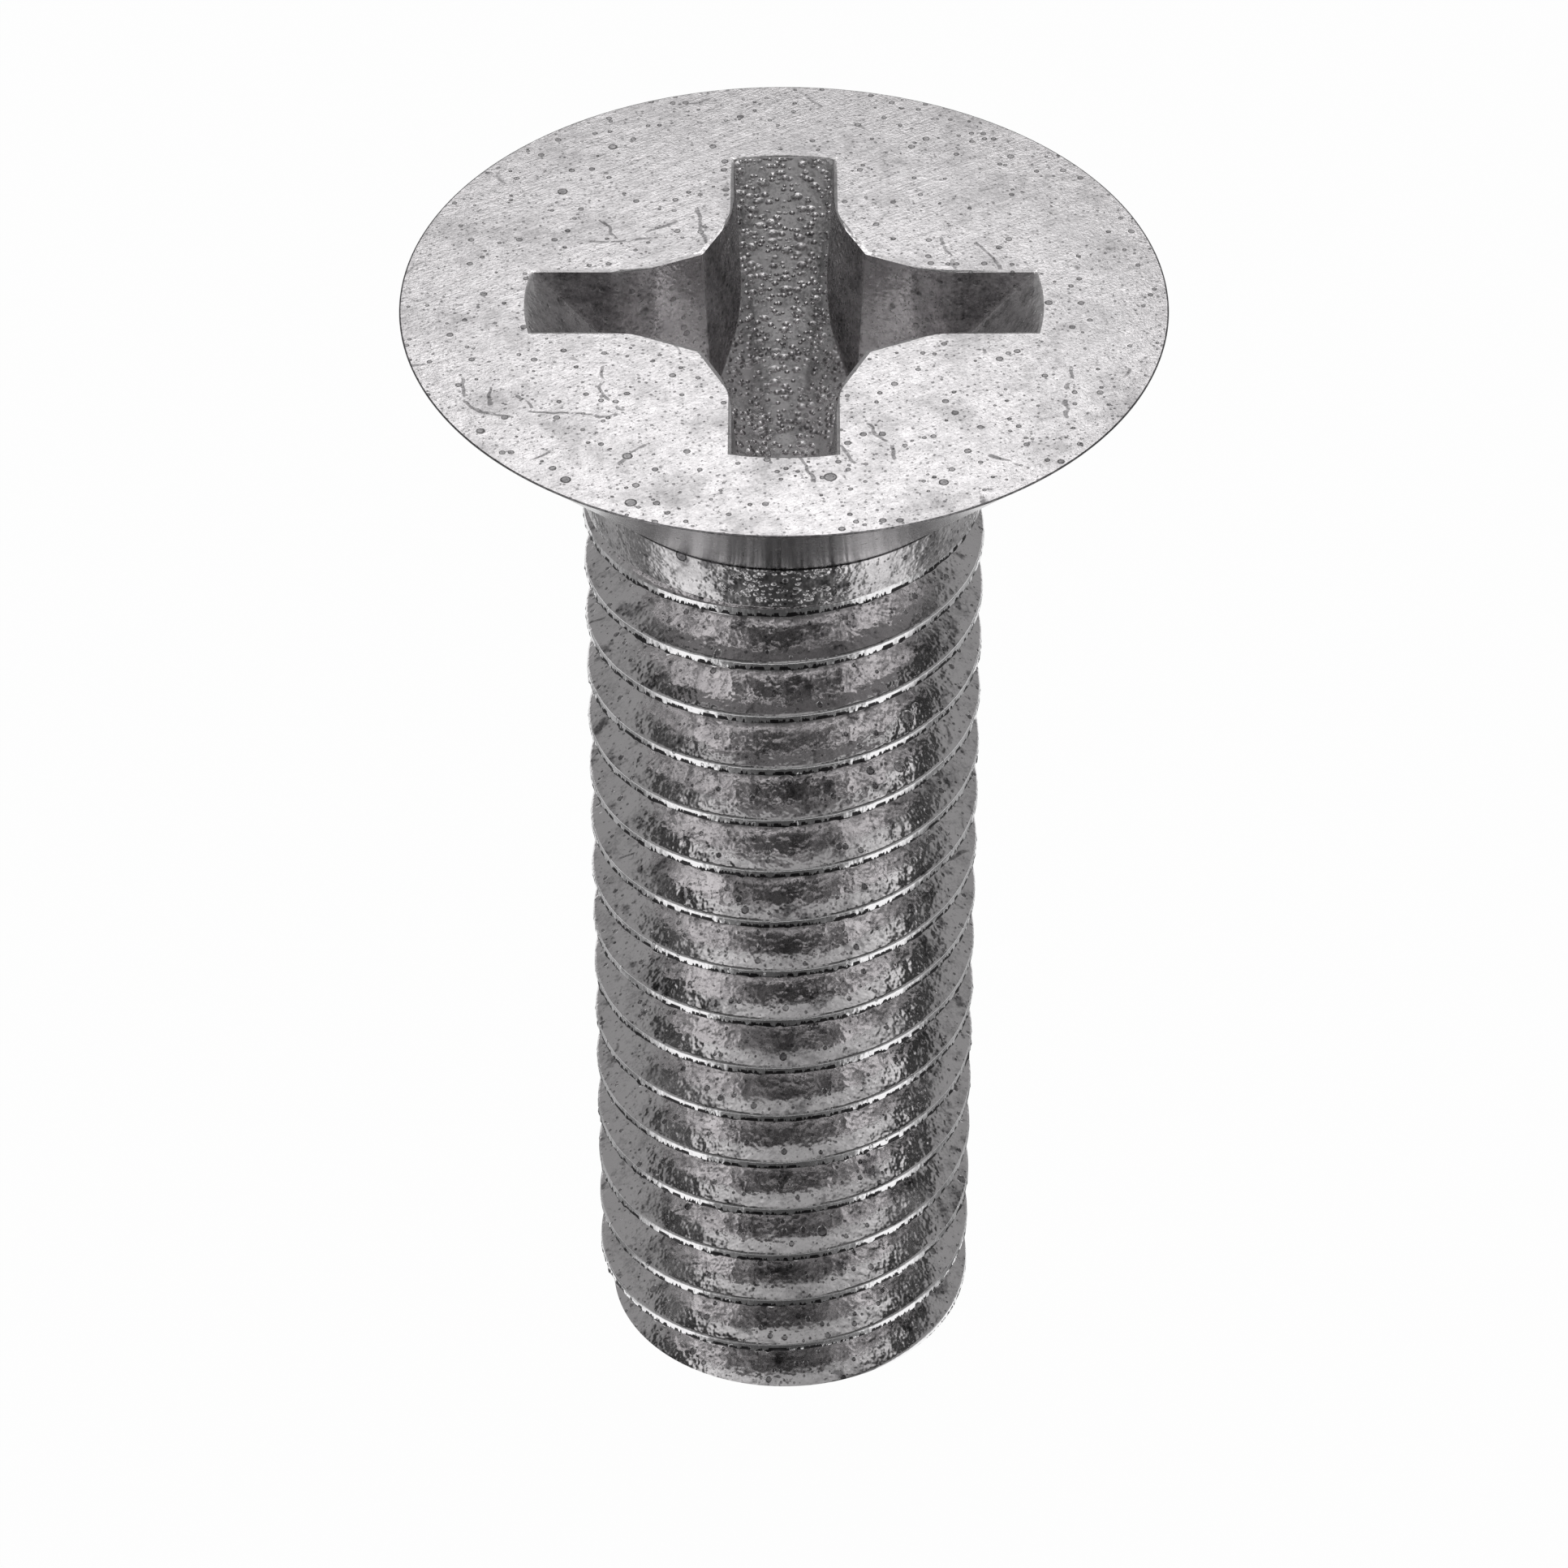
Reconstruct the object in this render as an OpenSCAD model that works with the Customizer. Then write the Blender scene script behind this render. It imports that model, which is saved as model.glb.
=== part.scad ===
// Countersunk machine screw with a cross recess, all in one solid.
// It stands on its flat tip: the origin is the centre of the tip face and +Z runs up the axis to the head.

/* [Size] */
// Nominal diameter of the thread and of the plain neck
thread_d = 6; // [5:0.1:7]
// Overall length from the tip to the flat top of the head
length = 20; // [14:0.5:28]

/* [Head] */
// Diameter of the flat top of the head
head_d = 11.2; // [10:0.1:13]
// Included angle of the conical underside
head_angle = 90; // [80:1:100]
// Height of the plain cylindrical ring between the cone and the thread
neck_h = 0.54; // [0.2:0.02:2]

/* [Thread] */
// Distance between neighbouring crests
pitch = 1; // [0.8:0.05:1.25]
// Included angle between the flanks of the groove
flank_angle = 60; // [50:1:65]
// Depth of the groove, as a share of the pitch
depth_share = 0.6134; // [0.5:0.0001:0.65]
// Width of the flat crest, as a share of the pitch
crest_share = 0.125; // [0.08:0.005:0.2]
// Radius by which the crests lie below the nominal size, as fit allowance
thread_allowance = 0.01; // [0.005:0.005:0.05]
// Angle over which the groove fades out under the neck
runout_angle = 265; // [120:5:330]
// Direction, seen from above and counted from +X, in which the groove ends
runout_end = 295; // [0:5:355]
// Height and width of the 45 degree chamfer at the tip
tip_chamfer = 0.73; // [0.65:0.01:1.2]

/* [Recess] */
// Size across the wings at the mouth of the recess
recess_d = 7.5; // [6.5:0.1:8]
// Depth of the recess down to its flat floor
recess_depth = 3.5; // [2.5:0.1:3.8]
// Angle between the axis and the sloping end of a wing
wing_slope = 41.35; // [30:0.05:42]
// Width of a wing at the mouth
wing_w = 1.5; // [1.2:0.05:1.7]
// Draft of the side walls of a wing
wing_draft = 4.7; // [2:0.1:6]
// Width of the square core that the flared corners reach at the mouth
core_w = 2.4; // [2:0.05:2.8]
// Draft of the core corners
core_draft = 2.9; // [1:0.1:4]
// Angle between a flared corner wall and the wing beside it
flare_angle = 25; // [15:1:35]

/* [Hidden] */
steel = [0.66, 0.66, 0.67];
curve_steps = 96;
overshoot = 0.5;

neck_r = thread_d / 2;
head_r = head_d / 2;
cone_h = (head_r - neck_r) / tan(head_angle / 2);
cone_z = length - cone_h;
neck_z = cone_z - neck_h;

// The groove is a trapezium that winds up around the shank, to the right as it rises.
stations_per_turn = 48;
station_step = 360 / stations_per_turn;
crest_r = neck_r - thread_allowance;
groove_depth = depth_share * pitch;
groove_w = pitch * (1 - crest_share);
flank_h = groove_depth * tan(flank_angle / 2);
runout_turns = runout_angle / 360;
// Height of the lower edge of the groove where it has faded out
groove_end_z = neck_z - groove_w + pitch * runout_turns;
// The first section lies wholly below the tip face, which trims it away
stations = ceil(stations_per_turn * (groove_end_z + groove_w) / pitch) + 1;
shank_bottom_z = groove_z(stations) - overshoot;
shank_top_z = neck_z + neck_h / 2;
// A power above 1 lets the tool leave the work gently
fade_power = 1.25;

// Stations are counted back from the end of the run-out, so station 0 is the point where it ends.
function azimuth(s) = runout_end - s * station_step;
function groove_z(s) = groove_end_z - pitch * s / stations_per_turn;
function fade(s) = pow(min(1, s * station_step / runout_angle), fade_power);
function on_shank(r, s, z) = [r * cos(azimuth(s)), r * sin(azimuth(s)), z];

// The four corners of the groove at one station, from its lower edge to its upper edge
function groove_section(s) =
    let (f = fade(s), z = groove_z(s), root_r = crest_r - groove_depth * f)
    [
        on_shank(crest_r, s, z),
        on_shank(root_r, s, z + flank_h * f),
        on_shank(root_r, s, z + (groove_w - flank_h) * f),
        on_shank(crest_r, s, z + groove_w * f)
    ];

// Shank with its thread: the helical groove, the crests between its turns and a ring above and below
module threaded_shank() {
    turn = stations_per_turn;
    last = stations;
    // Point 0 is the end of the groove, then four corners a station, then the two rings
    sections = [for (s = [1 : last]) each groove_section(s)];
    top_ring = [for (s = [0 : turn - 1]) on_shank(crest_r, s, shank_top_z)];
    bottom_ring = [for (s = [0 : turn - 1]) on_shank(crest_r, s + last, shank_bottom_z)];
    points = concat([on_shank(crest_r, 0, groove_end_z)], sections, top_ring, bottom_ring);

    function corner(s, k) = s == 0 ? 0 : 1 + 4 * (s - 1) + k;
    function top(s) = 1 + 4 * last + s % turn;
    function bottom(s) = 1 + 4 * last + turn + (s - last + 2 * turn) % turn;

    // Faces are listed clockwise as seen from outside
    flanks = [
        for (s = [1 : last - 1], k = [0, 2]) each [
            [corner(s + 1, k + 1), corner(s, k + 1), corner(s, k)],
            [corner(s + 1, k), corner(s + 1, k + 1), corner(s, k)]
        ]
    ];
    roots = [for (s = [1 : last - 1]) [corner(s + 1, 1), corner(s + 1, 2), corner(s, 2), corner(s, 1)]];
    groove_end = [for (k = [0 : 2]) [corner(1, k), corner(1, k + 1), 0]];
    groove_start = [[for (k = [3 : -1 : 0]) corner(last, k)]];

    // Each crest runs from the upper edge of one turn to the lower edge of the turn above it
    crests = [
        for (s = [0 : last - turn - 1])
            [corner(s + turn + 1, 3), corner(s + 1, 0), corner(s, 0), corner(s + turn, 3)]
    ];
    neck_band = [
        for (s = [0 : turn - 2]) [corner(s + 1, 3), top(s + 1), top(s), corner(s, 3)]
    ];
    neck_seam = [[corner(turn - 1, 3), corner(turn, 3), 0, top(0), top(turn - 1)]];
    tip_band = [
        for (s = [last - turn + 1 : last - 1])
            [bottom(s + 1), corner(s + 1, 0), corner(s, 0), bottom(s)]
    ];
    tip_seam = [[
        corner(last - turn + 1, 0), corner(last - turn, 0), corner(last, 3), corner(last, 0),
        bottom(last), bottom(last - turn + 1)
    ]];
    top_face = [[for (s = [0 : turn - 1]) top(s)]];
    bottom_face = [[for (s = [0 : turn - 1]) bottom(last + turn - s)]];

    polyhedron(points, concat(
        flanks, roots, groove_end, groove_start, crests, neck_band, neck_seam, tip_band, tip_seam,
        top_face, bottom_face
    ), convexity = 10);
}

// Flat head with its conical seat, and the plain neck below it
module head_and_neck() {
    rotate_extrude($fn = curve_steps)
        polygon([[0, neck_z], [neck_r, neck_z], [neck_r, cone_z], [head_r, length], [0, length]]);
}

// What is turned off the tip: everything below the flat face and outside the chamfer
module tip_trim() {
    tip_r = neck_r - tip_chamfer;
    outer_r = neck_r + overshoot;
    rotate_extrude($fn = curve_steps)
        polygon([
            [0, 0], [tip_r, 0], [outer_r, outer_r - tip_r], [outer_r, shank_bottom_z - overshoot],
            [0, shank_bottom_z - overshoot]
        ]);
}

// Outline of the four wings and their flared corners at one depth below the head
function cross_outline(depth) =
    let (
        w = wing_w / 2 - depth * tan(wing_draft),
        c = core_w / 2 - depth * tan(core_draft),
        flare_r = c + (c - w) / tan(flare_angle),
        reach = head_r,
        corner = [[reach, w], [flare_r, w], [c, c], [w, flare_r], [w, reach]]
    )
    [
        for (turn = [0 : 90 : 270], p = corner)
            [p.x * cos(turn) - p.y * sin(turn), p.x * sin(turn) + p.y * cos(turn), length - depth]
    ];

// Cross-shaped prism with drafted walls, open past the head and past the floor
module drafted_cross() {
    low = cross_outline(recess_depth + overshoot);
    high = cross_outline(-overshoot);
    n = len(low);
    // The outline is a star, so its two ends are fans of triangles about a point on the axis
    hubs = [[0, 0, low[0].z], [0, 0, high[0].z]];
    walls = [for (i = [0 : n - 1]) [i, i + n, (i + 1) % n + n, (i + 1) % n]];
    floor_fan = [for (i = [0 : n - 1]) [2 * n, i, (i + 1) % n]];
    roof_fan = [for (i = [0 : n - 1]) [2 * n + 1, (i + 1) % n + n, i + n]];
    polyhedron(concat(low, high, hubs), concat(walls, floor_fan, roof_fan), convexity = 4);
}

// Space taken out of the head: the drafted cross inside the cone that slopes the ends of its wings
module cross_recess() {
    mouth_r = recess_d / 2;
    slope = tan(wing_slope);
    intersection() {
        drafted_cross();
        translate([0, 0, length - recess_depth])
            cylinder(
                h = recess_depth + overshoot, r1 = mouth_r - recess_depth * slope,
                r2 = mouth_r + overshoot * slope, $fn = curve_steps
            );
    }
}

module screw() {
    color(steel)
        difference() {
            union() {
                head_and_neck();
                threaded_shank();
            }
            tip_trim();
            cross_recess();
        }
}

screw();
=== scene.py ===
"""Looks of a countersunk machine screw: its turned and threaded surfaces, worn steel and a plain studio."""

import math

import bmesh
import bpy
from mathutils import Matrix, Vector, noise


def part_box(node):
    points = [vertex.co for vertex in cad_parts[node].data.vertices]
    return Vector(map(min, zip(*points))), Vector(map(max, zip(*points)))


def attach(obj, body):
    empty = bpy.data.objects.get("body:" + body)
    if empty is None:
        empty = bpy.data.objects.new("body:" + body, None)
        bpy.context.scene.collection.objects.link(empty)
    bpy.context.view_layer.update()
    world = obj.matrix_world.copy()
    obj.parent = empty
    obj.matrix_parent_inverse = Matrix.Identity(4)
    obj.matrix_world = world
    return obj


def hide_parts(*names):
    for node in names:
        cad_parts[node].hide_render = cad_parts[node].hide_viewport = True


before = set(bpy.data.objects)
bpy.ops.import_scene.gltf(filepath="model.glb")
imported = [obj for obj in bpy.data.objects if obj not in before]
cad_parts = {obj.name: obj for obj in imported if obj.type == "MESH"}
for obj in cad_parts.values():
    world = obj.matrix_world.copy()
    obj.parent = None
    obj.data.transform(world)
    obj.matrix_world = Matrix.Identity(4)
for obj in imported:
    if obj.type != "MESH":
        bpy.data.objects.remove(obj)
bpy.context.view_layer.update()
screw_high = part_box("screw")[1]

MM = 0.001

# Sizes of the screw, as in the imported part
length = screw_high.z
head_r = screw_high.x
neck_r = 3.0 * MM
neck_h = 0.54 * MM
crest_r = 2.99 * MM
pitch = 1.0 * MM
groove_w = 0.875 * MM
groove_depth = 0.6134 * MM
flank_h = groove_depth * math.tan(math.radians(30))
tip_chamfer = 0.73 * MM
runout_end = math.radians(295)
runout_turns = 265 / 360
fade_power = 1.25
cone_z = length - (head_r - neck_r)
neck_z = cone_z - neck_h
groove_end_z = neck_z - groove_w + pitch * runout_turns

# The cross recess
mouth_r = 3.75 * MM
recess_depth = 3.5 * MM
end_slope = math.tan(math.radians(41.35))
wing_half = 0.75 * MM
wing_draft = math.tan(math.radians(4.7))
core_half = 1.2 * MM
core_draft = math.tan(math.radians(2.9))
flare_slope = math.tan(math.radians(25))

# The worn rim of the head, and the narrow worn lip round the recess
rim_round = 0.04 * MM
lip_w = 0.045 * MM
lip_h = 0.0142 * MM
lip_over = 0.02 * MM
lip_top_w = lip_w * (1 + lip_over / lip_h)

# Rounded edges, by how far a round reaches from the sharp corner
lower_crest_round = 0.040 * MM
upper_crest_round = 0.020 * MM
root_round = 0.055 * MM
flare_round = 0.36 * MM
inner_round = 0.03 * MM
mouth_round = 0.018 * MM

# The burr on the lower edge of each crest: its height everywhere, what it adds where it is torn,
# the sizes of its teeth and of its patches, and how near to the edge it starts
burr_least = 0.004 * MM
burr_torn = 0.07 * MM
burr_tooth = 0.10 * MM
burr_patch = 0.6 * MM
burr_reach = 0.025 * MM
# The burr and the painted shade beside it start where the groove has this share of its depth
burr_share = 0.3

# Places of the steels in the screw's material slots
THREAD, HEAD, SEAT, NECK, RECESS, WORN, RIM, CREASE = range(8)

# A face whose normal has at least this share upwards is level, and the neck's steel goes this far down
level = 0.99
neck_overlap = 0.1 * MM

# How finely the surfaces are cut
STEPS = 288
CONE_STEPS = 160
STUDIO_STEPS = 96

# What the cuts reach past the screw, a hair's breadth, and the height at which the thread's tube ends
overshoot = 0.5 * MM
hair = 0.01 * MM
tube_top = cone_z + 0.35 * MM

# Faces within the first angle are made one, and edges that turn by more than the second are true corners
flat_angle = math.radians(0.5)
sharp_angle = math.radians(28)


# Mesh helpers

def chain(mesh, points):
    """A row of vertices joined by edges."""
    verts = [mesh.verts.new(p) for p in points]
    return verts, [mesh.edges.new(pair) for pair in zip(verts, verts[1:])]


def place(mesh, name):
    """Puts a finished mesh in the scene, with its place in its mesh."""
    data = bpy.data.meshes.new(name)
    mesh.to_mesh(data)
    mesh.free()
    piece = bpy.data.objects.new(name, data)
    bpy.context.scene.collection.objects.link(piece)
    return piece


def carve(blank, tool, operation):
    """Cuts a blank with a tool, and returns the result as a new mesh. Both objects are used up.
    Empty material slots let the faces keep their numbers through the cut."""
    for piece in (blank, tool):
        while len(piece.data.materials) <= WORN:
            piece.data.materials.append(None)
    cut = blank.modifiers.new("cut", "BOOLEAN")
    cut.operation, cut.solver, cut.object = operation, "MANIFOLD", tool
    done = blank.evaluated_get(bpy.context.evaluated_depsgraph_get())
    mesh = bmesh.new()
    mesh.from_mesh(done.to_mesh())
    for used in (blank, tool):
        bpy.data.objects.remove(used)
    return mesh


def turned(mesh, points, steps):
    """Turns a closed profile, which starts and ends on the axis, into a solid."""
    verts, edges = chain(mesh, [(r, 0, z) for r, z in points])
    bmesh.ops.spin(mesh, geom=verts + edges, cent=(0, 0, 0), axis=(0, 0, 1), angle=math.tau,
                   steps=steps, use_merge=True)
    bmesh.ops.remove_doubles(mesh, verts=mesh.verts, dist=0.0005 * MM)
    bmesh.ops.recalc_face_normals(mesh, faces=mesh.faces)


# The thread

def rounded(before, corner, after, reach, cuts):
    """Points that round off a corner of a profile, starting and ending at reach from it."""
    start = corner + (before - corner).normalized() * reach
    end = corner + (after - corner).normalized() * reach
    shares = [cut / cuts for cut in range(cuts + 1)]
    return [start.lerp(corner, t).lerp(corner.lerp(end, t), t) for t in shares]


def groove_profile():
    """One pitch of thread, from the middle of a crest to the middle of the next, as (radius, height)."""
    root_r = crest_r - groove_depth
    lower, upper = Vector((crest_r, 0)), Vector((crest_r, groove_w))
    foot, shelf = Vector((root_r, flank_h)), Vector((root_r, groove_w - flank_h))
    crest_below = Vector((crest_r, (groove_w - pitch) / 2))
    crest_above = Vector((crest_r, (groove_w + pitch) / 2))
    return [
        crest_below,
        *rounded(crest_below, lower, foot, lower_crest_round, 3),
        lower.lerp(foot, 0.5),
        *rounded(lower, foot, shelf, root_round, 2),
        *rounded(foot, shelf, upper, root_round, 2),
        shelf.lerp(upper, 0.5),
        *rounded(shelf, upper, crest_above, upper_crest_round, 2),
        crest_above,
    ]


def threaded_tube(mesh):
    """The threaded surface, wound turn by turn, with its groove fading out under the head."""
    around = Matrix.Rotation(runout_end, 4, "Z")
    profile = [around @ Vector((p.x, 0, groove_end_z + p.y)) for p in groove_profile()]
    verts, edges = chain(mesh, profile)
    bmesh.ops.spin(mesh, geom=verts + edges, cent=(0, 0, 0), axis=(0, 0, 1), angle=math.tau,
                   dvec=(0, 0, pitch / STEPS), steps=STEPS)
    bmesh.ops.translate(mesh, verts=mesh.verts, vec=(0, 0, -pitch))
    one_turn = mesh.verts[:] + mesh.edges[:] + mesh.faces[:]
    turns = math.ceil((groove_end_z + 2 * overshoot) / pitch)
    for turn in range(-2, turns):
        if turn == 0:
            continue
        copied = bmesh.ops.duplicate(mesh, geom=one_turn)["geom"]
        verts = [g for g in copied if isinstance(g, bmesh.types.BMVert)]
        bmesh.ops.translate(mesh, verts=verts, vec=(0, 0, -pitch * turn))
    bmesh.ops.remove_doubles(mesh, verts=mesh.verts, dist=0.001 * MM)
    for vert in mesh.verts:
        fade_and_burr(vert)
    mesh.normal_update()


def fade_and_burr(vert):
    """Lifts a vertex out of the fading groove, and pulls it down as a burr on a crest's lower edge."""
    azimuth = (math.atan2(vert.co.y, vert.co.x) - runout_end) / math.tau
    azimuth -= math.floor(azimuth)
    above = (vert.co.z - groove_end_z) / pitch - azimuth
    wound_back = -math.floor(above + (1 - groove_w / pitch) / 2 + 1e-4)
    height = (above + wound_back) * pitch
    back = wound_back - azimuth
    radius = math.hypot(vert.co.x, vert.co.y)
    share = min(1, max(0, back) / runout_turns) ** fade_power
    if back <= 0:
        vert.co.xy *= crest_r / radius
        return
    on_crest = abs(height - (groove_w + pitch) / 2) < hair or height < -hair
    if share < 1 and not on_crest:
        depth = (crest_r - radius) * share
        vert.co.z += height * (max(share, 0.02) - 1)
        vert.co.xy *= (crest_r - depth) / radius
    if abs(height - groove_w) < burr_reach and share > burr_share:
        ragged = max(0, noise.noise(vert.co / burr_tooth))
        patchy = min(1, max(0, noise.noise(vert.co / burr_patch) * 2 + 0.5))
        burr = burr_least + burr_torn * ragged * patchy
        vert.co.xy *= 1 + 0.5 * burr / radius
        vert.co.z -= burr


# The head

def head_blank():
    """The flat head, its cone and the neck in one turned solid, with a worn rim."""
    mesh = bmesh.new()
    turned(mesh, [
        (0, neck_z),
        (neck_r, neck_z),
        (neck_r, cone_z),
        (head_r - rim_round, length - rim_round),
        (head_r - rim_round * 0.3, length - rim_round * 0.6),
        (head_r - rim_round * 0.15, length - rim_round * 0.2),
        (head_r - rim_round * 0.7, length),
        (0, length),
    ], STEPS)
    bmesh.ops.dissolve_limit(mesh, angle_limit=flat_angle, verts=mesh.verts, edges=mesh.edges)
    return place(mesh, "head_blank")


def close_ends(mesh):
    """Cuts the threaded tube level, inside the head and below the tip, and closes it."""
    for height, above in ((tube_top, True), (-overshoot / 2, False)):
        everything = mesh.verts[:] + mesh.edges[:] + mesh.faces[:]
        cut = bmesh.ops.bisect_plane(mesh, geom=everything, plane_co=(0, 0, height), plane_no=(0, 0, 1),
                                     clear_outer=above, clear_inner=not above)["geom_cut"]
        bmesh.ops.contextual_create(mesh, geom=[g for g in cut if isinstance(g, bmesh.types.BMEdge)])


def tip_blank():
    """The round bar that the thread's end is trimmed to, with its flat face and chamfer."""
    mesh = bmesh.new()
    tip_r = neck_r - tip_chamfer
    wide = head_r + overshoot
    turned(mesh, [(0, 0), (tip_r, 0), (wide, wide - tip_r), (wide, length + overshoot),
                  (0, length + overshoot)], STEPS)
    return place(mesh, "tip_blank")


# The cross recess

def cross_outline(depth, widened):
    """Outline of the four wings and their flared corners at one depth below the head."""
    wing = wing_half - depth * wing_draft + widened
    core = core_half - depth * core_draft + widened
    flare = core + (core - wing) / flare_slope
    reach = head_r + widened
    corner = [(reach, wing), (flare, wing), (core, core), (wing, flare), (wing, reach)]
    return [Matrix.Rotation(math.pi / 2 * turn, 3, "Z") @ Vector((x, y, length - depth))
            for turn in range(4) for x, y in corner]


def drafted_cross():
    """The prism of the four wings, with a narrow worn lip at the mouth and soft flares.
    The flared walls meet the wings at 25 degrees and each other at 40. Only the first edges are softened."""
    mesh = bmesh.new()
    rims = []
    for depth, widened in ((-lip_over, lip_top_w), (lip_h, 0), (recess_depth + overshoot, 0)):
        verts, edges = chain(mesh, cross_outline(depth, widened))
        rims.append(edges + [mesh.edges.new((verts[-1], verts[0]))])
    for upper, lower in zip(rims, rims[1:]):
        bmesh.ops.bridge_loops(mesh, edges=upper + lower)
    for end in (rims[0], rims[-1]):
        bmesh.ops.contextual_create(mesh, geom=end)
    bmesh.ops.recalc_face_normals(mesh, faces=mesh.faces)
    flares = [e for e in mesh.edges if math.radians(12) < e.calc_face_angle(0) < math.radians(35)
              and abs(e.verts[0].co.z - e.verts[1].co.z) > lip_h]
    bmesh.ops.bevel(mesh, geom=flares, offset=flare_round, offset_type="OFFSET", affect="EDGES",
                    segments=6, profile=0.5, material=-1, clamp_overlap=True)
    return place(mesh, "cross")


def end_cone():
    """The cone that slopes the ends of the wings, with the same lip."""
    mesh = bmesh.new()
    lip_r = mouth_r - lip_h * end_slope
    floor_z = length - recess_depth
    top_z = length + 2 * lip_over + lip_h
    turned(mesh, [
        (0, floor_z),
        (mouth_r - recess_depth * end_slope, floor_z),
        (lip_r, length - lip_h),
        (lip_r + 2 * lip_top_w, top_z),
        (0, top_z),
    ], CONE_STEPS)
    return place(mesh, "cone")


def recess_tool():
    """The drafted cross inside the cone, with its edges rounded. Those rounds are marked as worn."""
    mesh = carve(drafted_cross(), end_cone(), "INTERSECT")
    bmesh.ops.dissolve_limit(mesh, angle_limit=flat_angle, verts=mesh.verts, edges=mesh.edges)
    below = length + lip_over / 2
    lip_foot = length - 2 * lip_h
    sharp = [e for e in mesh.edges if e.calc_face_angle(0) > sharp_angle
             and min(v.co.z for v in e.verts) < below]
    at_mouth = [e for e in sharp if min(v.co.z for v in e.verts) > lip_foot]
    inside = [e for e in sharp if e not in at_mouth]
    for edges, offset in ((inside, inner_round), (at_mouth, mouth_round)):
        edges = [e for e in edges if e.is_valid]
        rounds = bmesh.ops.bevel(mesh, geom=edges, offset=offset, offset_type="OFFSET", affect="EDGES",
                                 segments=2, profile=0.5, material=-1, clamp_overlap=True)["faces"]
        for face in rounds:
            face.material_index = WORN
    return place(mesh, "recess_tool")


def screw_blank():
    """The whole screw as one closed mesh."""
    mesh = bmesh.new()
    threaded_tube(mesh)
    close_ends(mesh)
    bmesh.ops.recalc_face_normals(mesh, faces=mesh.faces)
    mesh = carve(place(mesh, "rough"), head_blank(), "UNION")
    mesh = carve(place(mesh, "rough"), tip_blank(), "INTERSECT")
    return carve(place(mesh, "rough"), recess_tool(), "DIFFERENCE")


# Shader maths

class Wire:
    """A socket in a material's node tree, on which Python arithmetic adds Math nodes."""

    def __init__(self, tree, socket):
        self.tree, self.socket = tree, socket

    def node(self, kind, settings, *values, out=0):
        """Adds a node of any type: its settings come first, then its sockets' values or links, in order."""
        made = self.tree.nodes.new("ShaderNode" + kind)
        for name, value in settings.items():
            if name == "stops":
                set_stops(made.color_ramp, value)
            else:
                setattr(made, name, value)
        sockets = [s for s in made.inputs if s.enabled]
        pairs = values[0].items() if values and isinstance(values[0], dict) else enumerate(values)
        for key, value in pairs:
            socket = made.inputs[key] if isinstance(key, str) else sockets[key]
            if isinstance(value, Wire):
                self.tree.links.new(value.socket, socket)
            else:
                socket.default_value = value
        outlets = [s for s in made.outputs if s.enabled]
        return Wire(self.tree, made.outputs[out] if isinstance(out, str) else outlets[out])

    def also(self, out):
        """Another output of the same node."""
        return Wire(self.tree, self.socket.node.outputs[out])

    def maths(self, operation, *values):
        return self.node("Math", {"operation": operation}, *values)

    def vector(self, operation, *values, out=0):
        return self.node("VectorMath", {"operation": operation}, *values, out=out)

    def __add__(self, other):
        return self.maths("ADD", self, other)

    def __sub__(self, other):
        return self.maths("SUBTRACT", self, other)

    def __rsub__(self, other):
        return self.maths("SUBTRACT", other, self)

    def __mul__(self, other):
        return self.maths("MULTIPLY", self, other)

    def __truediv__(self, other):
        return self.maths("DIVIDE", self, other)

    def __lt__(self, other):
        return self.maths("LESS_THAN", self, other)

    def __gt__(self, other):
        return self.maths("GREATER_THAN", self, other)

    def __pow__(self, other):
        return self.maths("POWER", self, other)

    __radd__ = __add__
    __rmul__ = __mul__

    def size(self):
        return self.maths("ABSOLUTE", self)

    def floor(self):
        return self.maths("FLOOR", self)

    def fraction(self):
        return self.maths("FRACT", self)

    def least(self, other):
        return self.maths("MINIMUM", self, other)

    def most(self, other):
        return self.maths("MAXIMUM", self, other)

    def ramp(self, low, high, to_low=0.0, to_high=1.0):
        """Smoothly maps low..high to to_low..to_high."""
        return self.node("MapRange", {"interpolation_type": "SMOOTHSTEP"}, self, low, high, to_low, to_high)


def set_stops(ramp, stops):
    """Gives a colour ramp its stops, as (position, grey)."""
    while len(ramp.elements) < len(stops):
        ramp.elements.new(0.5)
    for element, (position, grey) in zip(ramp.elements, stops):
        element.position = position
        element.color = (grey, grey, grey, 1)


def blank_material(name):
    """A material with no nodes but its output, and a first wire to work from."""
    material = bpy.data.materials.new(name)
    material.use_nodes = True
    tree = material.node_tree
    tree.nodes.clear()
    output = tree.nodes.new("ShaderNodeOutputMaterial")
    return material, Wire(tree, output.inputs["Surface"])


# Worn steel, and the painted light and shade on it

STEEL_DARK = (0.16, 0.155, 0.16, 1)
STEEL_BRIGHT = (0.77, 0.75, 0.758, 1)
# Brighter steel for the burnished crest lips, which also serves as a painted highlight along each crest
STEEL_BURNISHED_AND_HIGHLIGHT = (0.93, 0.92, 0.93, 1)
# A nearly black colour that paints shade, under each crest's lip and in the crease below the cone
STEEL_PAINTED_SHADE = (0.04, 0.038, 0.04, 1)


# Pits and grains of grit, as (spacing, share of the places that has one, size, shift) in millimetres
FINE_PITS = (0.10, 0.80, 0.032, 3.1)
SMALL_PITS = (0.20, 0.75, 0.056, 17.7)
LARGE_PITS = (0.55, 0.60, 0.10, 41.3)
FINE_GRIT = (0.075, 0.85, 0.050, 7.3)
COARSE_GRIT = (0.13, 0.7, 0.08, 29.0)

# Heights of the relief in millimetres
DENT_HEIGHT = 0.02
PIT_DEPTH = 0.011
LINE_HEIGHT = 0.003
GRAIN_HEIGHT = 0.004
GRIT_HEIGHT = 0.03


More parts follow.
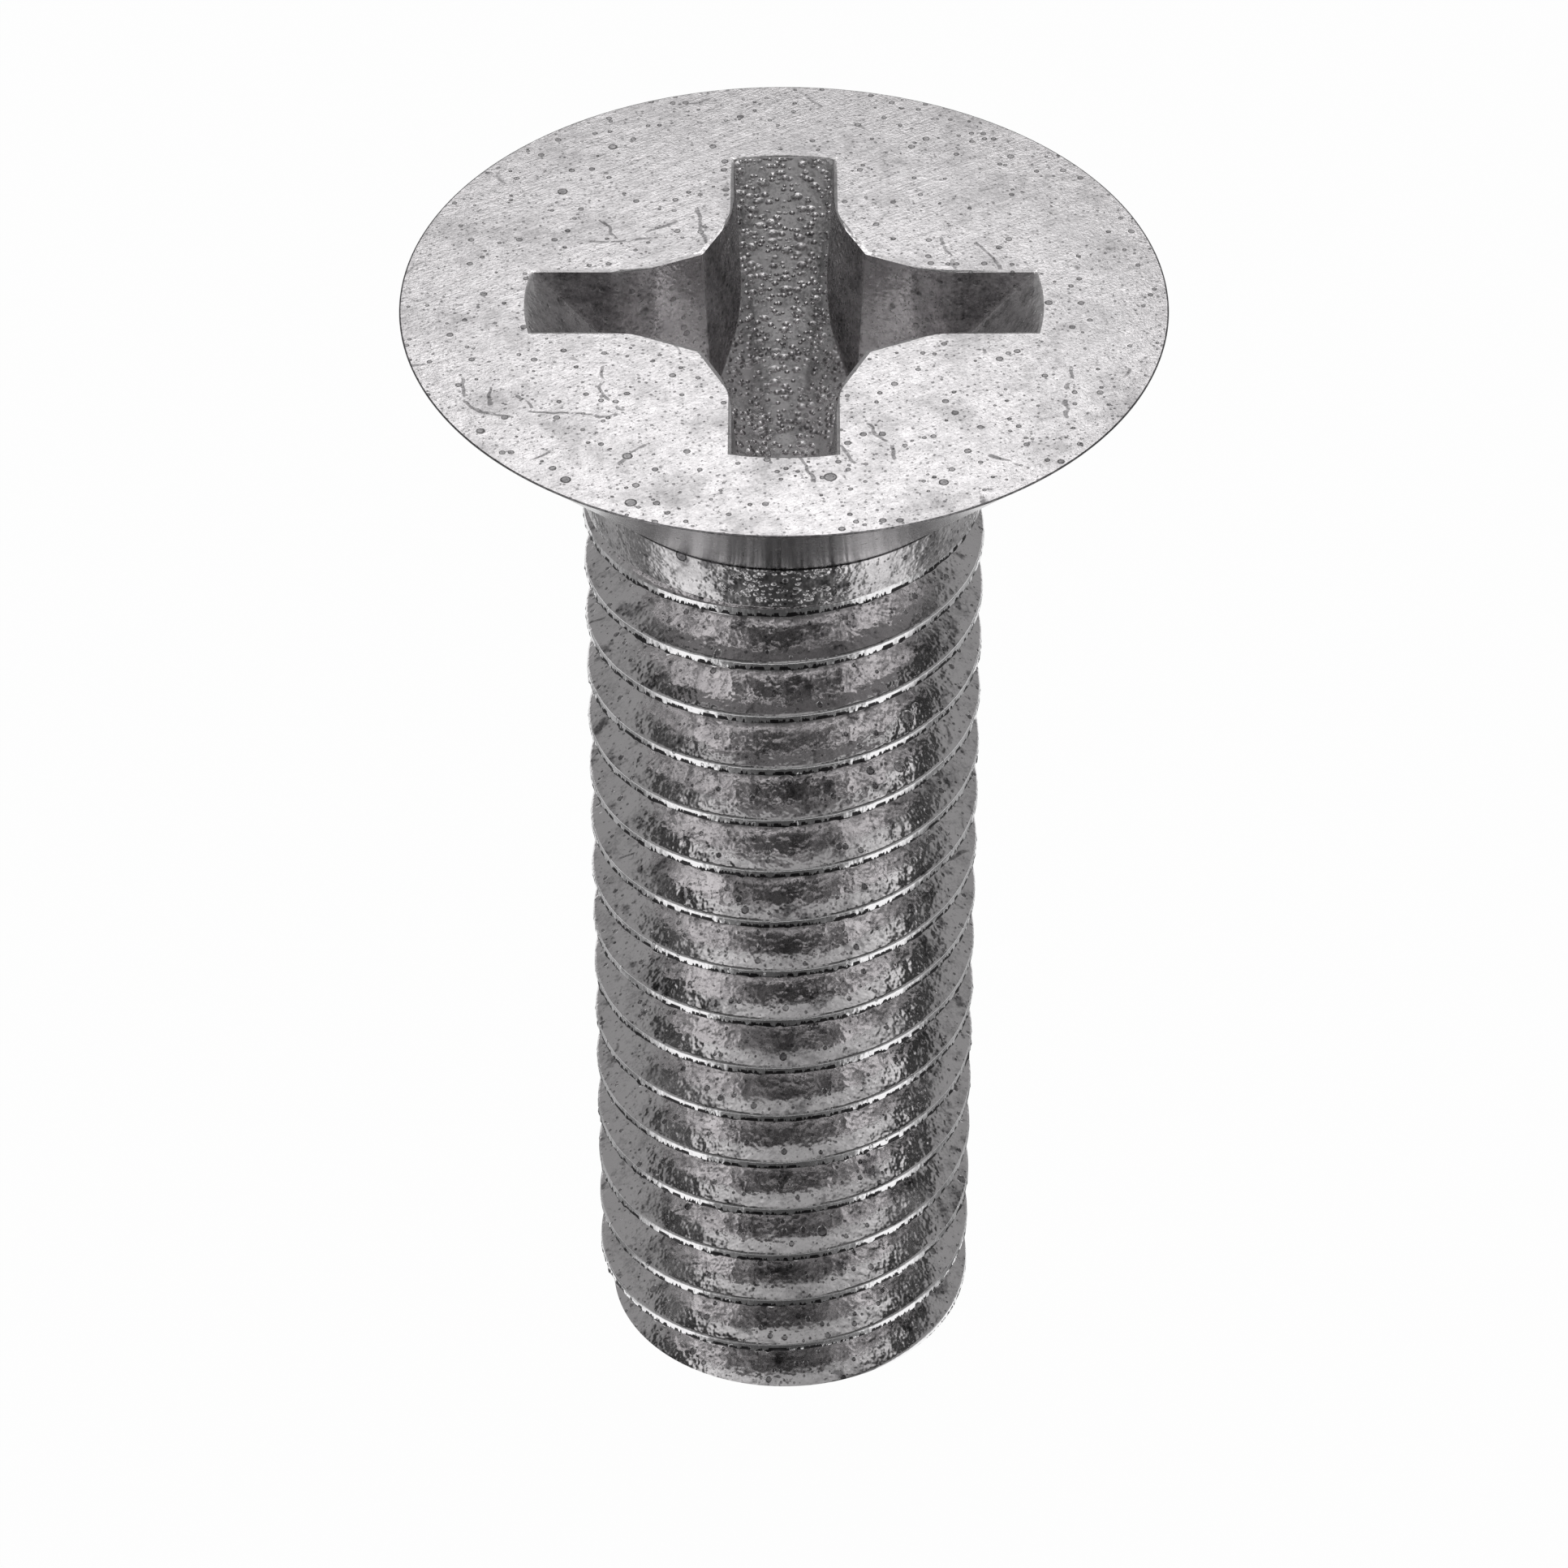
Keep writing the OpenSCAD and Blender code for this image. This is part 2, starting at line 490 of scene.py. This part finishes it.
def in_mm(start, flatten):
    """Object coordinates in millimetres, with heights shrunk so that marks run on down a flank."""
    coords = start.node("TexCoord", {}, out="Object")
    return start.vector("MULTIPLY", coords, (1 / MM, 1 / MM, flatten / MM))


def pits(at, sort, wear=1.0, wall=0.72):
    """Round pits in some of the cells of a jittered grid, as a depth from 0 to 1.
    The depth falls off between the share wall of their radius and their edge."""
    spacing, share, size, shift = sort
    moved = at.vector("ADD", at, (shift, shift * 0.7, shift * 1.3))
    grid = {"Vector": moved, "Scale": 1 / spacing, "Randomness": 0.9}
    cell = at.node("TexVoronoi", {}, grid, out="Color")
    chosen = at.node("SeparateColor", {}, cell, out="Red")
    radius = (chosen.also("Green") * 0.65 + 0.35) * (size / spacing)
    return (cell.also("Distance") / radius).ramp(1.0, wall) * (chosen < share * wear)


def noise_at(at, scale, detail, roughness=0.6):
    return at.node("TexNoise", {}, {"Vector": at, "Scale": scale, "Detail": detail, "Roughness": roughness})


def streaks(at, turn, fine, long):
    """Fine grinding lines that run along a direction in the XY plane, turn degrees from +X."""
    along = at.node("Mapping", {"vector_type": "TEXTURE"},
                    {"Vector": at, "Rotation": (0, 0, math.radians(turn)), "Scale": (long, fine, long)})
    return noise_at(along, 1.0, 3.0, 0.70)


def stray_scratches(at, shift, share):
    """Thin wandering scratches: the level lines of a smooth noise, broken off by another."""
    moved = at.vector("ADD", at, (shift, shift * 0.6, shift * 0.9))
    wander = noise_at(moved, 0.75, 0.6)
    line = (wander - 0.5).size().ramp(0.011, 0.004)
    return line * noise_at(moved, 1.3, 2.0).ramp(0.70 - share, 0.76 - share)


def stroke(at, start_at, end_at, width):
    """One straight scratch on the flat of the head, as a depth from 0 to 1; places are in millimetres."""
    run = Vector(end_at) - Vector(start_at)
    from_start = at.vector("SUBTRACT", at, (*start_at, 0))
    share = at.vector("DOT_PRODUCT", from_start, (*run, 0), out="Value") / run.length_squared
    share = share.most(0.0).least(1.0)
    nearest = at.vector("SCALE", {"Vector": (*run, 0), "Scale": share})
    off = at.vector("LENGTH", at.vector("SUBTRACT", from_start, nearest), out="Value")
    return off.ramp(width / 2, width / 3.4)


# Scratches that stand out on the head, as (x, y) corners in millimetres
HEAD_SCRATCHES = [
    [(-4.6, -1.9), (-4.6, -2.3)],
    [(-4.2, -2.1), (-4.2, -2.5)],
    [(-4.6, -2.4), (-4.3, -2.7), (-3.9, -2.8)],
    [(-3.6, -2.7), (-3.0, -2.7), (-2.6, -2.8), (-2.4, -2.7)],
    [(-3.8, -2.3), (-3.6, -2.6)],
    [(-2.6, -1.6), (-2.6, -2.1), (-2.5, -2.4), (-2.3, -2.6)],
    [(-1.6, -1.1), (-1.5, -1.3)],
    [(-2.3, -3.9), (-2.0, -3.5)],
    [(-2.7, 2.0), (-2.5, 1.6)],
    [(-3.0, 1.5), (-2.5, 1.5), (-1.9, 1.6)],
    [(-1.3, 2.4), (-1.2, 1.8), (-1.1, 1.4)],
    [(2.3, 1.6), (2.5, 0.9)],
    [(2.8, 1.5), (3.1, 1.1), (3.2, 0.7)],
    [(4.1, -1.6), (4.0, -2.8)],
    [(1.2, -3.0), (1.5, -3.5), (1.6, -3.8)],
    [(2.9, -3.7), (3.3, -3.9)],
    [(0.2, -3.6), (0.4, -4.3)],
    [(0.8, -3.5), (1.0, -3.9)],
]


def head_scratches(at):
    """All scratches on the flat of the head, wavering a little."""
    sway = at.node("TexNoise", {}, {"Vector": at, "Scale": 3.0, "Detail": 1.0}, out="Color")
    swayed = at.vector("ADD", at, at.vector("MULTIPLY", at.vector("SUBTRACT", sway, (0.5, 0.5, 0.5)),
                                            (0.22, 0.22, 0)))
    on_top = swayed.vector("MULTIPLY", swayed, (1, 1, 0))
    deepest = None
    for corners in HEAD_SCRATCHES:
        for ends in zip(corners, corners[1:]):
            mark = stroke(on_top, *ends, width=0.07)
            deepest = mark if deepest is None else deepest.most(mark)
    return deepest * noise_at(at, 6.0, 2.0).ramp(0.36, 0.46)


def crest_bands(start):
    """Painted shade on the lower half of each crest, and the ragged lip above it, which is burnished and
    also painted as a highlight, both from 0 to 1.
    """
    place_at = start.node("TexCoord", {}, out="Object")
    x, y, z = (start.node("SeparateXYZ", {}, place_at, out=axis) for axis in "XYZ")
    azimuth = ((x.maths("ARCTAN2", y, x) - runout_end) / math.tau).fraction()
    above = (z - groove_end_z) / pitch - azimuth
    share = ((-1.0 * above.floor() - azimuth) / runout_turns).most(0.0).least(1.0) ** fade_power
    over_groove = above.fraction() * (pitch / MM) - share * (groove_w / MM)
    teeth = noise_at(in_mm(start, 0.1), 8.0, 3.0, 0.75)
    edge = 0.066 - ((teeth - 0.46).most(0.0) * 0.6).least(0.06)
    radius = start.vector("LENGTH", place_at.vector("MULTIPLY", place_at, (1, 1, 0)), out="Value")
    on_crest = (radius > crest_r - 0.04 * MM) * (share > burr_share)
    crest_painted_shade = (edge - over_groove).ramp(-0.005, 0.005) * over_groove.ramp(-0.02, -0.005) * on_crest
    lip = over_groove.ramp(0.0, 0.01) * on_crest * (1.0 - crest_painted_shade)
    return crest_painted_shade, lip


def worn_steel(name, gloss, streak, wear, dents, flatten=1.0, tone=0.655, mottle=1.0, grit=0.0,
               marked=False, lipped=False, painted_crease_shade=False, painted_recess_light=False, patchy=0.0, metallic=1.0, bite=1.0):
    """Bare steel: grinding lines, pits, cloudy dull patches, scratches and soft dents.
    marked adds the long scratches of the head. lipped adds the painted shade under each crest's lip, and the
    lip's burnish, which is also a painted highlight. painted_crease_shade adds the painted shade in the
    crease under the cone, and painted_recess_light adds the painted light that brightens the recess walls
    towards the middle and the sloped ends of the wings."""
    material, start = blank_material(name)
    at = in_mm(start, flatten)
    clouds = noise_at(at, 0.9, 3.0)
    blotches = noise_at(at, 5.5, 3.0, 0.65)
    grain = noise_at(at, 21.0, 2.0, 0.7)
    lines = streaks(at, 32, 0.035, 1.3)
    dashes = streaks(at, 29, 0.05, 0.30).ramp(0.62, 0.70) * wear
    dull = clouds.ramp(0.45, 0.72) * wear

    pitted = pits(at, SMALL_PITS, wear).most(pits(at, LARGE_PITS, wear))
    scored = stray_scratches(at, 9.0, 0.10 * wear)
    if marked:
        scored = scored.most(head_scratches(at))
    specks = noise_at(at, 17.0, 2.0, 0.6).ramp(0.62, 0.68) * wear
    marks = pitted.most(scored).most(pits(at, FINE_PITS, wear))
    across = at.node("SeparateXYZ", {}, at, out="X").size()
    # Painted light: the recess walls brighten towards the middle, and the sloped ends of the wings brighten,
    # with a random tone on top
    if painted_recess_light:
        radius = at.vector("LENGTH", at.vector("MULTIPLY", at, (1, 1, 0)), out="Value")
        depth = length / MM - at.node("SeparateXYZ", {}, at, out="Z")
        off_end = (radius + depth * end_slope - mouth_r / MM).size()
        painted_light_on_walls = across.ramp(2.6, 1.5) * across.ramp(1.12, 1.18)
        painted_light_on_ends = off_end.ramp(0.08, 0.04)
        tone = tone + painted_light_on_walls * 0.45
        tone = tone + painted_light_on_ends * 0.28 + (noise_at(at, 1.7, 3.0) - 0.5) * 1.3
    if patchy:
        grimy = noise_at(at, 2.6, 3.0, 0.7).ramp(0.54, 0.68)
        tone = tone + (noise_at(at, 1.6, 2.0) - 0.5) * patchy - grimy * patchy * 0.50

    # marks * bite darkens the pits and scratches in the colour, as painted shade in their hollows
    shade = (tone + (grain - 0.5) * mottle * 0.9 + (blotches - 0.5) * mottle * 1.0
             + (lines - 0.5) * streak * 0.9 - dull * 0.07 - marks * bite * 0.30 - specks.most(dashes) * 0.28)
    colour = start.node("Mix", {"data_type": "RGBA"}, shade, STEEL_DARK, STEEL_BRIGHT)
    rough = (gloss + (clouds - 0.5) * 0.12 + (lines - 0.5) * streak * 0.2 + marks * 0.12 + dull * 0.08
             + specks * 0.2)

    soft_dents = noise_at(at, 5.0, 2.0)
    relief = soft_dents * dents * DENT_HEIGHT - pitted * bite * PIT_DEPTH
    if marked:
        relief = relief + lines * streak * LINE_HEIGHT + grain * GRAIN_HEIGHT
    if grit:
        laid = at.vector("MULTIPLY", at, (0.7, 1, 1))
        grains = pits(laid, FINE_GRIT, wall=0.15).most(pits(laid, COARSE_GRIT, wall=0.2))
        relief = relief + grains * across.ramp(0.7, 1.1, grit, grit * 0.08) * GRIT_HEIGHT
    if lipped:
        # Painted shade darkens the lower half of each crest. The lip above it is burnished steel that is
        # also painted as a highlight.
        crest_painted_shade, lip = crest_bands(start)
        colour = start.node("Mix", {"data_type": "RGBA"}, lip, colour, STEEL_BURNISHED_AND_HIGHLIGHT)
        colour = start.node("Mix", {"data_type": "RGBA"}, crest_painted_shade, colour, STEEL_PAINTED_SHADE)
        rough = rough + crest_painted_shade * 0.3
    if painted_crease_shade:
        # Painted shade: a nearly black band along the crease where the cone meets the neck
        height = at.node("SeparateXYZ", {}, at, out="Z")
        corner = (height - cone_z / MM).size().ramp(0.040, 0.018)
        colour = start.node("Mix", {"data_type": "RGBA"}, corner, colour, STEEL_PAINTED_SHADE)
    bump = start.node("Bump", {}, {"Height": relief, "Strength": 1.0, "Distance": MM})
    surface = start.node("BsdfPrincipled", {}, {
        "Base Color": colour, "Metallic": metallic, "Roughness": rough, "Normal": bump})
    start.tree.links.new(surface.socket, start.socket)
    return material


def finish_screw(piece):
    """Gives each region of the screw its own steel, in the order of their places."""
    for material in (
        worn_steel("thread_steel", gloss=0.12, streak=0.4, wear=1.0, dents=0.9, flatten=0.6, tone=1.0,
                   mottle=1.1, lipped=True, patchy=1.4, bite=2.3),
        worn_steel("head_steel", gloss=0.31, streak=0.8, wear=1.0, dents=0.12, mottle=0.8, marked=True,
                   bite=1.15),
        worn_steel("seat_steel", gloss=0.20, streak=0.3, wear=0.2, dents=0.05, mottle=0.5, painted_crease_shade=True),
        worn_steel("neck_steel", gloss=0.10, streak=0.2, wear=1.0, dents=1.4, tone=0.78, grit=0.8,
                   painted_crease_shade=True, patchy=0.8, bite=2.0),
        worn_steel("recess_steel", gloss=0.24, streak=0.2, wear=1.0, dents=0.5, tone=0.62, mottle=1.5,
                   grit=1.0, painted_recess_light=True, metallic=0.9),
        worn_steel("worn_edge_steel", gloss=0.20, streak=0.0, wear=0.5, dents=0.3, tone=0.80),
        # Painted shade: the rounded rim is painted nearly black, which draws a dark line round the head's
        # edge
        worn_steel("rim_painted_shade_steel", gloss=0.30, streak=0.0, wear=0.3, dents=0.2, tone=0.10),
        # The rounded edges deep in the recess are worn, and are also painted pale and half matt as a
        # highlight, so that they show as bright lines
        worn_steel("inner_edge_painted_highlight_steel", gloss=0.40, streak=0.0, wear=0.5, dents=0.3, tone=0.90, metallic=0.5),
    ):
        piece.data.materials.append(material)


def region(face):
    """The place of a face's steel. Only the rounded edges of the recess come marked, as WORN."""
    middle = face.calc_center_median()
    reach = middle.xy.length
    rounded_edge = face.material_index == WORN
    under_cone = reach < middle.z - cone_z + neck_r - 2 * hair
    if middle.z > length - hair / 10 and face.normal.z > level:
        return HEAD
    if middle.z > length - rim_round and reach > (mouth_r + head_r) / 2:
        return RIM
    if rounded_edge and middle.z < length - 3 * lip_h:
        return CREASE
    if rounded_edge or middle.z > length - lip_h and 0.1 < face.normal.z < level:
        return WORN
    if middle.z > neck_z and under_cone and reach < mouth_r:
        return RECESS
    if middle.z > cone_z:
        return SEAT
    if middle.z > neck_z - neck_overlap:
        return NECK
    return THREAD


screw_mesh = screw_blank()
for face in screw_mesh.faces:
    face.smooth = True
    face.material_index = region(face)
for edge in screw_mesh.edges:
    bounds_head = sum(face.material_index == HEAD for face in edge.link_faces) == 1
    edge.smooth = edge.calc_face_angle(0) < sharp_angle and not bounds_head
screw = place(screw_mesh, "countersunk_screw")
flat_faces_first = screw.modifiers.new("even_shading", "WEIGHTED_NORMAL")
flat_faces_first.keep_sharp = True
finish_screw(screw)
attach(screw, "root")
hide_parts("screw")


# The studio

camera_at = Vector((0, -77.03, 75.20)) * MM
camera_dip = 39.873
floor_r = 1.2
card_inner_r, card_outer_r, card_z = 4 * MM, 150 * MM, 0.05 * MM


def studio_floor():
    """A wide pale floor, white to the camera and in reflections, that keeps a soft shadow."""
    mesh = bmesh.new()
    bmesh.ops.create_circle(mesh, cap_ends=True, segments=STUDIO_STEPS, radius=floor_r)
    floor = place(mesh, "studio_floor")
    material, start = blank_material("pale_floor")
    seen = start.node("LightPath", {}, out="Is Camera Ray")
    mirrored = start.node("LightPath", {}, out="Is Glossy Ray")
    through = start.node("LightPath", {}, out="Is Transmission Ray")
    white = start.node("Emission", {}, {"Color": (1, 1, 1, 1), "Strength": 1.0})
    matt = start.node("BsdfDiffuse", {}, {"Color": (0.86, 0.86, 0.86, 1)})
    whitened = (seen + mirrored + through).least(1.0) * 0.98
    surface = start.node("MixShader", {}, whitened, matt, white)
    start.tree.links.new(surface.socket, start.socket)
    floor.data.materials.append(material)


def dark_cards():
    """Dark cards laid round the screw with soft edges. Only the metal shows them, as its dark bands."""
    mesh = bmesh.new()
    verts, edges = chain(mesh, [(card_inner_r, 0, card_z), (card_outer_r, 0, card_z)])
    bmesh.ops.spin(mesh, geom=verts + edges, cent=(0, 0, 0), axis=(0, 0, 1), angle=math.tau,
                   steps=STUDIO_STEPS, use_merge=True)
    bmesh.ops.recalc_face_normals(mesh, faces=mesh.faces)
    cards = place(mesh, "dark_cards")
    material, start = blank_material("soft_edged_card")
    place_at = start.node("TexCoord", {}, out="Object")
    x, y = (start.node("SeparateXYZ", {}, place_at, out=axis) for axis in "XY")
    off_front = x.maths("ARCTAN2", x, y * -1.0).size() / math.pi
    darkness = start.node("ValToRGB", {"stops": [
        (0.0, 0.95), (0.09, 0.92), (0.19, 0.78), (0.235, 0.0), (0.34, 0.0), (0.44, 0.72), (0.50, 0.84),
        (0.58, 0.62), (0.66, 0.60), (0.72, 0.80), (0.79, 0.10), (1.0, 0.0)]}, off_front)
    clear = start.node("BsdfTransparent", {})
    dark = start.node("BsdfDiffuse", {}, {"Color": (0.03, 0.03, 0.03, 1)})
    surface = start.node("MixShader", {}, darkness, clear, dark)
    start.tree.links.new(surface.socket, start.socket)
    cards.data.materials.append(material)
    cards.visible_camera = False
    cards.visible_diffuse = False
    cards.visible_shadow = False


def studio_sky():
    """Soft light from all around: a bright ring overhead, a dark gap inside and below it, and a mid grey
    beneath. It is dimmer on the camera's side, with a soft light round the lens, and the camera itself
    sees it as white where it looks past the floor."""
    world = bpy.data.worlds.new("studio")
    bpy.context.scene.world = world
    world.use_nodes = True
    tree = world.node_tree
    tree.nodes.clear()
    output = tree.nodes.new("ShaderNodeOutputWorld")
    start = Wire(tree, output.inputs["Surface"])
    direction = start.node("TexCoord", {}, out="Generated")
    height = start.node("SeparateXYZ", {}, direction, out="Z")
    glow = start.node("ValToRGB", {"stops": [
        (0.0, 0.34), (0.30, 0.30), (0.60, 0.33), (0.68, 0.28), (0.72, 0.04), (0.82, 0.04), (0.87, 0.95),
        (0.972, 0.95), (0.985, 0.08), (1.0, 0.03)]}, height)
    to_camera = start.vector("DOT_PRODUCT", direction, camera_at.normalized()[:], out="Value")
    glow = glow * to_camera.ramp(0.55, 0.95, 1.0, 0.40) + to_camera.ramp(0.955, 0.985) * 0.32
    seen = start.node("LightPath", {}, out="Is Camera Ray")
    light = start.node("Background", {}, {"Color": glow.most(seen), "Strength": 1.0})
    tree.links.new(light.socket, start.socket)


def soft_lamp(name, place_at, aim, width, depth, power):
    """A rectangular soft box."""
    lamp = bpy.data.lights.new(name, "AREA")
    lamp.shape, lamp.size, lamp.size_y, lamp.energy = "RECTANGLE", width, depth, power
    box = bpy.data.objects.new(name, lamp)
    bpy.context.scene.collection.objects.link(box)
    box.location = place_at
    box.rotation_euler = (Vector(aim) - Vector(place_at)).to_track_quat("-Z", "Y").to_euler()
    box.visible_camera = False


def camera():
    """The photograph's viewpoint: 40 degrees above the horizon, straight in front."""
    lens = bpy.data.cameras.new("camera")
    lens.sensor_width, lens.lens = 36.0, 149.18
    lens.clip_start, lens.clip_end = 0.005, 10.0
    eye = bpy.data.objects.new("camera", lens)
    eye.location = camera_at
    eye.rotation_euler = (math.radians(90 - camera_dip), 0, 0)
    bpy.context.scene.collection.objects.link(eye)
    bpy.context.scene.camera = eye


camera()
studio_floor()
dark_cards()
studio_sky()
soft_lamp("back_box", place_at=(0, 34 * MM, 53 * MM), aim=(0, 0, 20 * MM), width=22 * MM, depth=14 * MM,
          power=0.0027)

bpy.context.scene.view_settings.view_transform = "Standard"
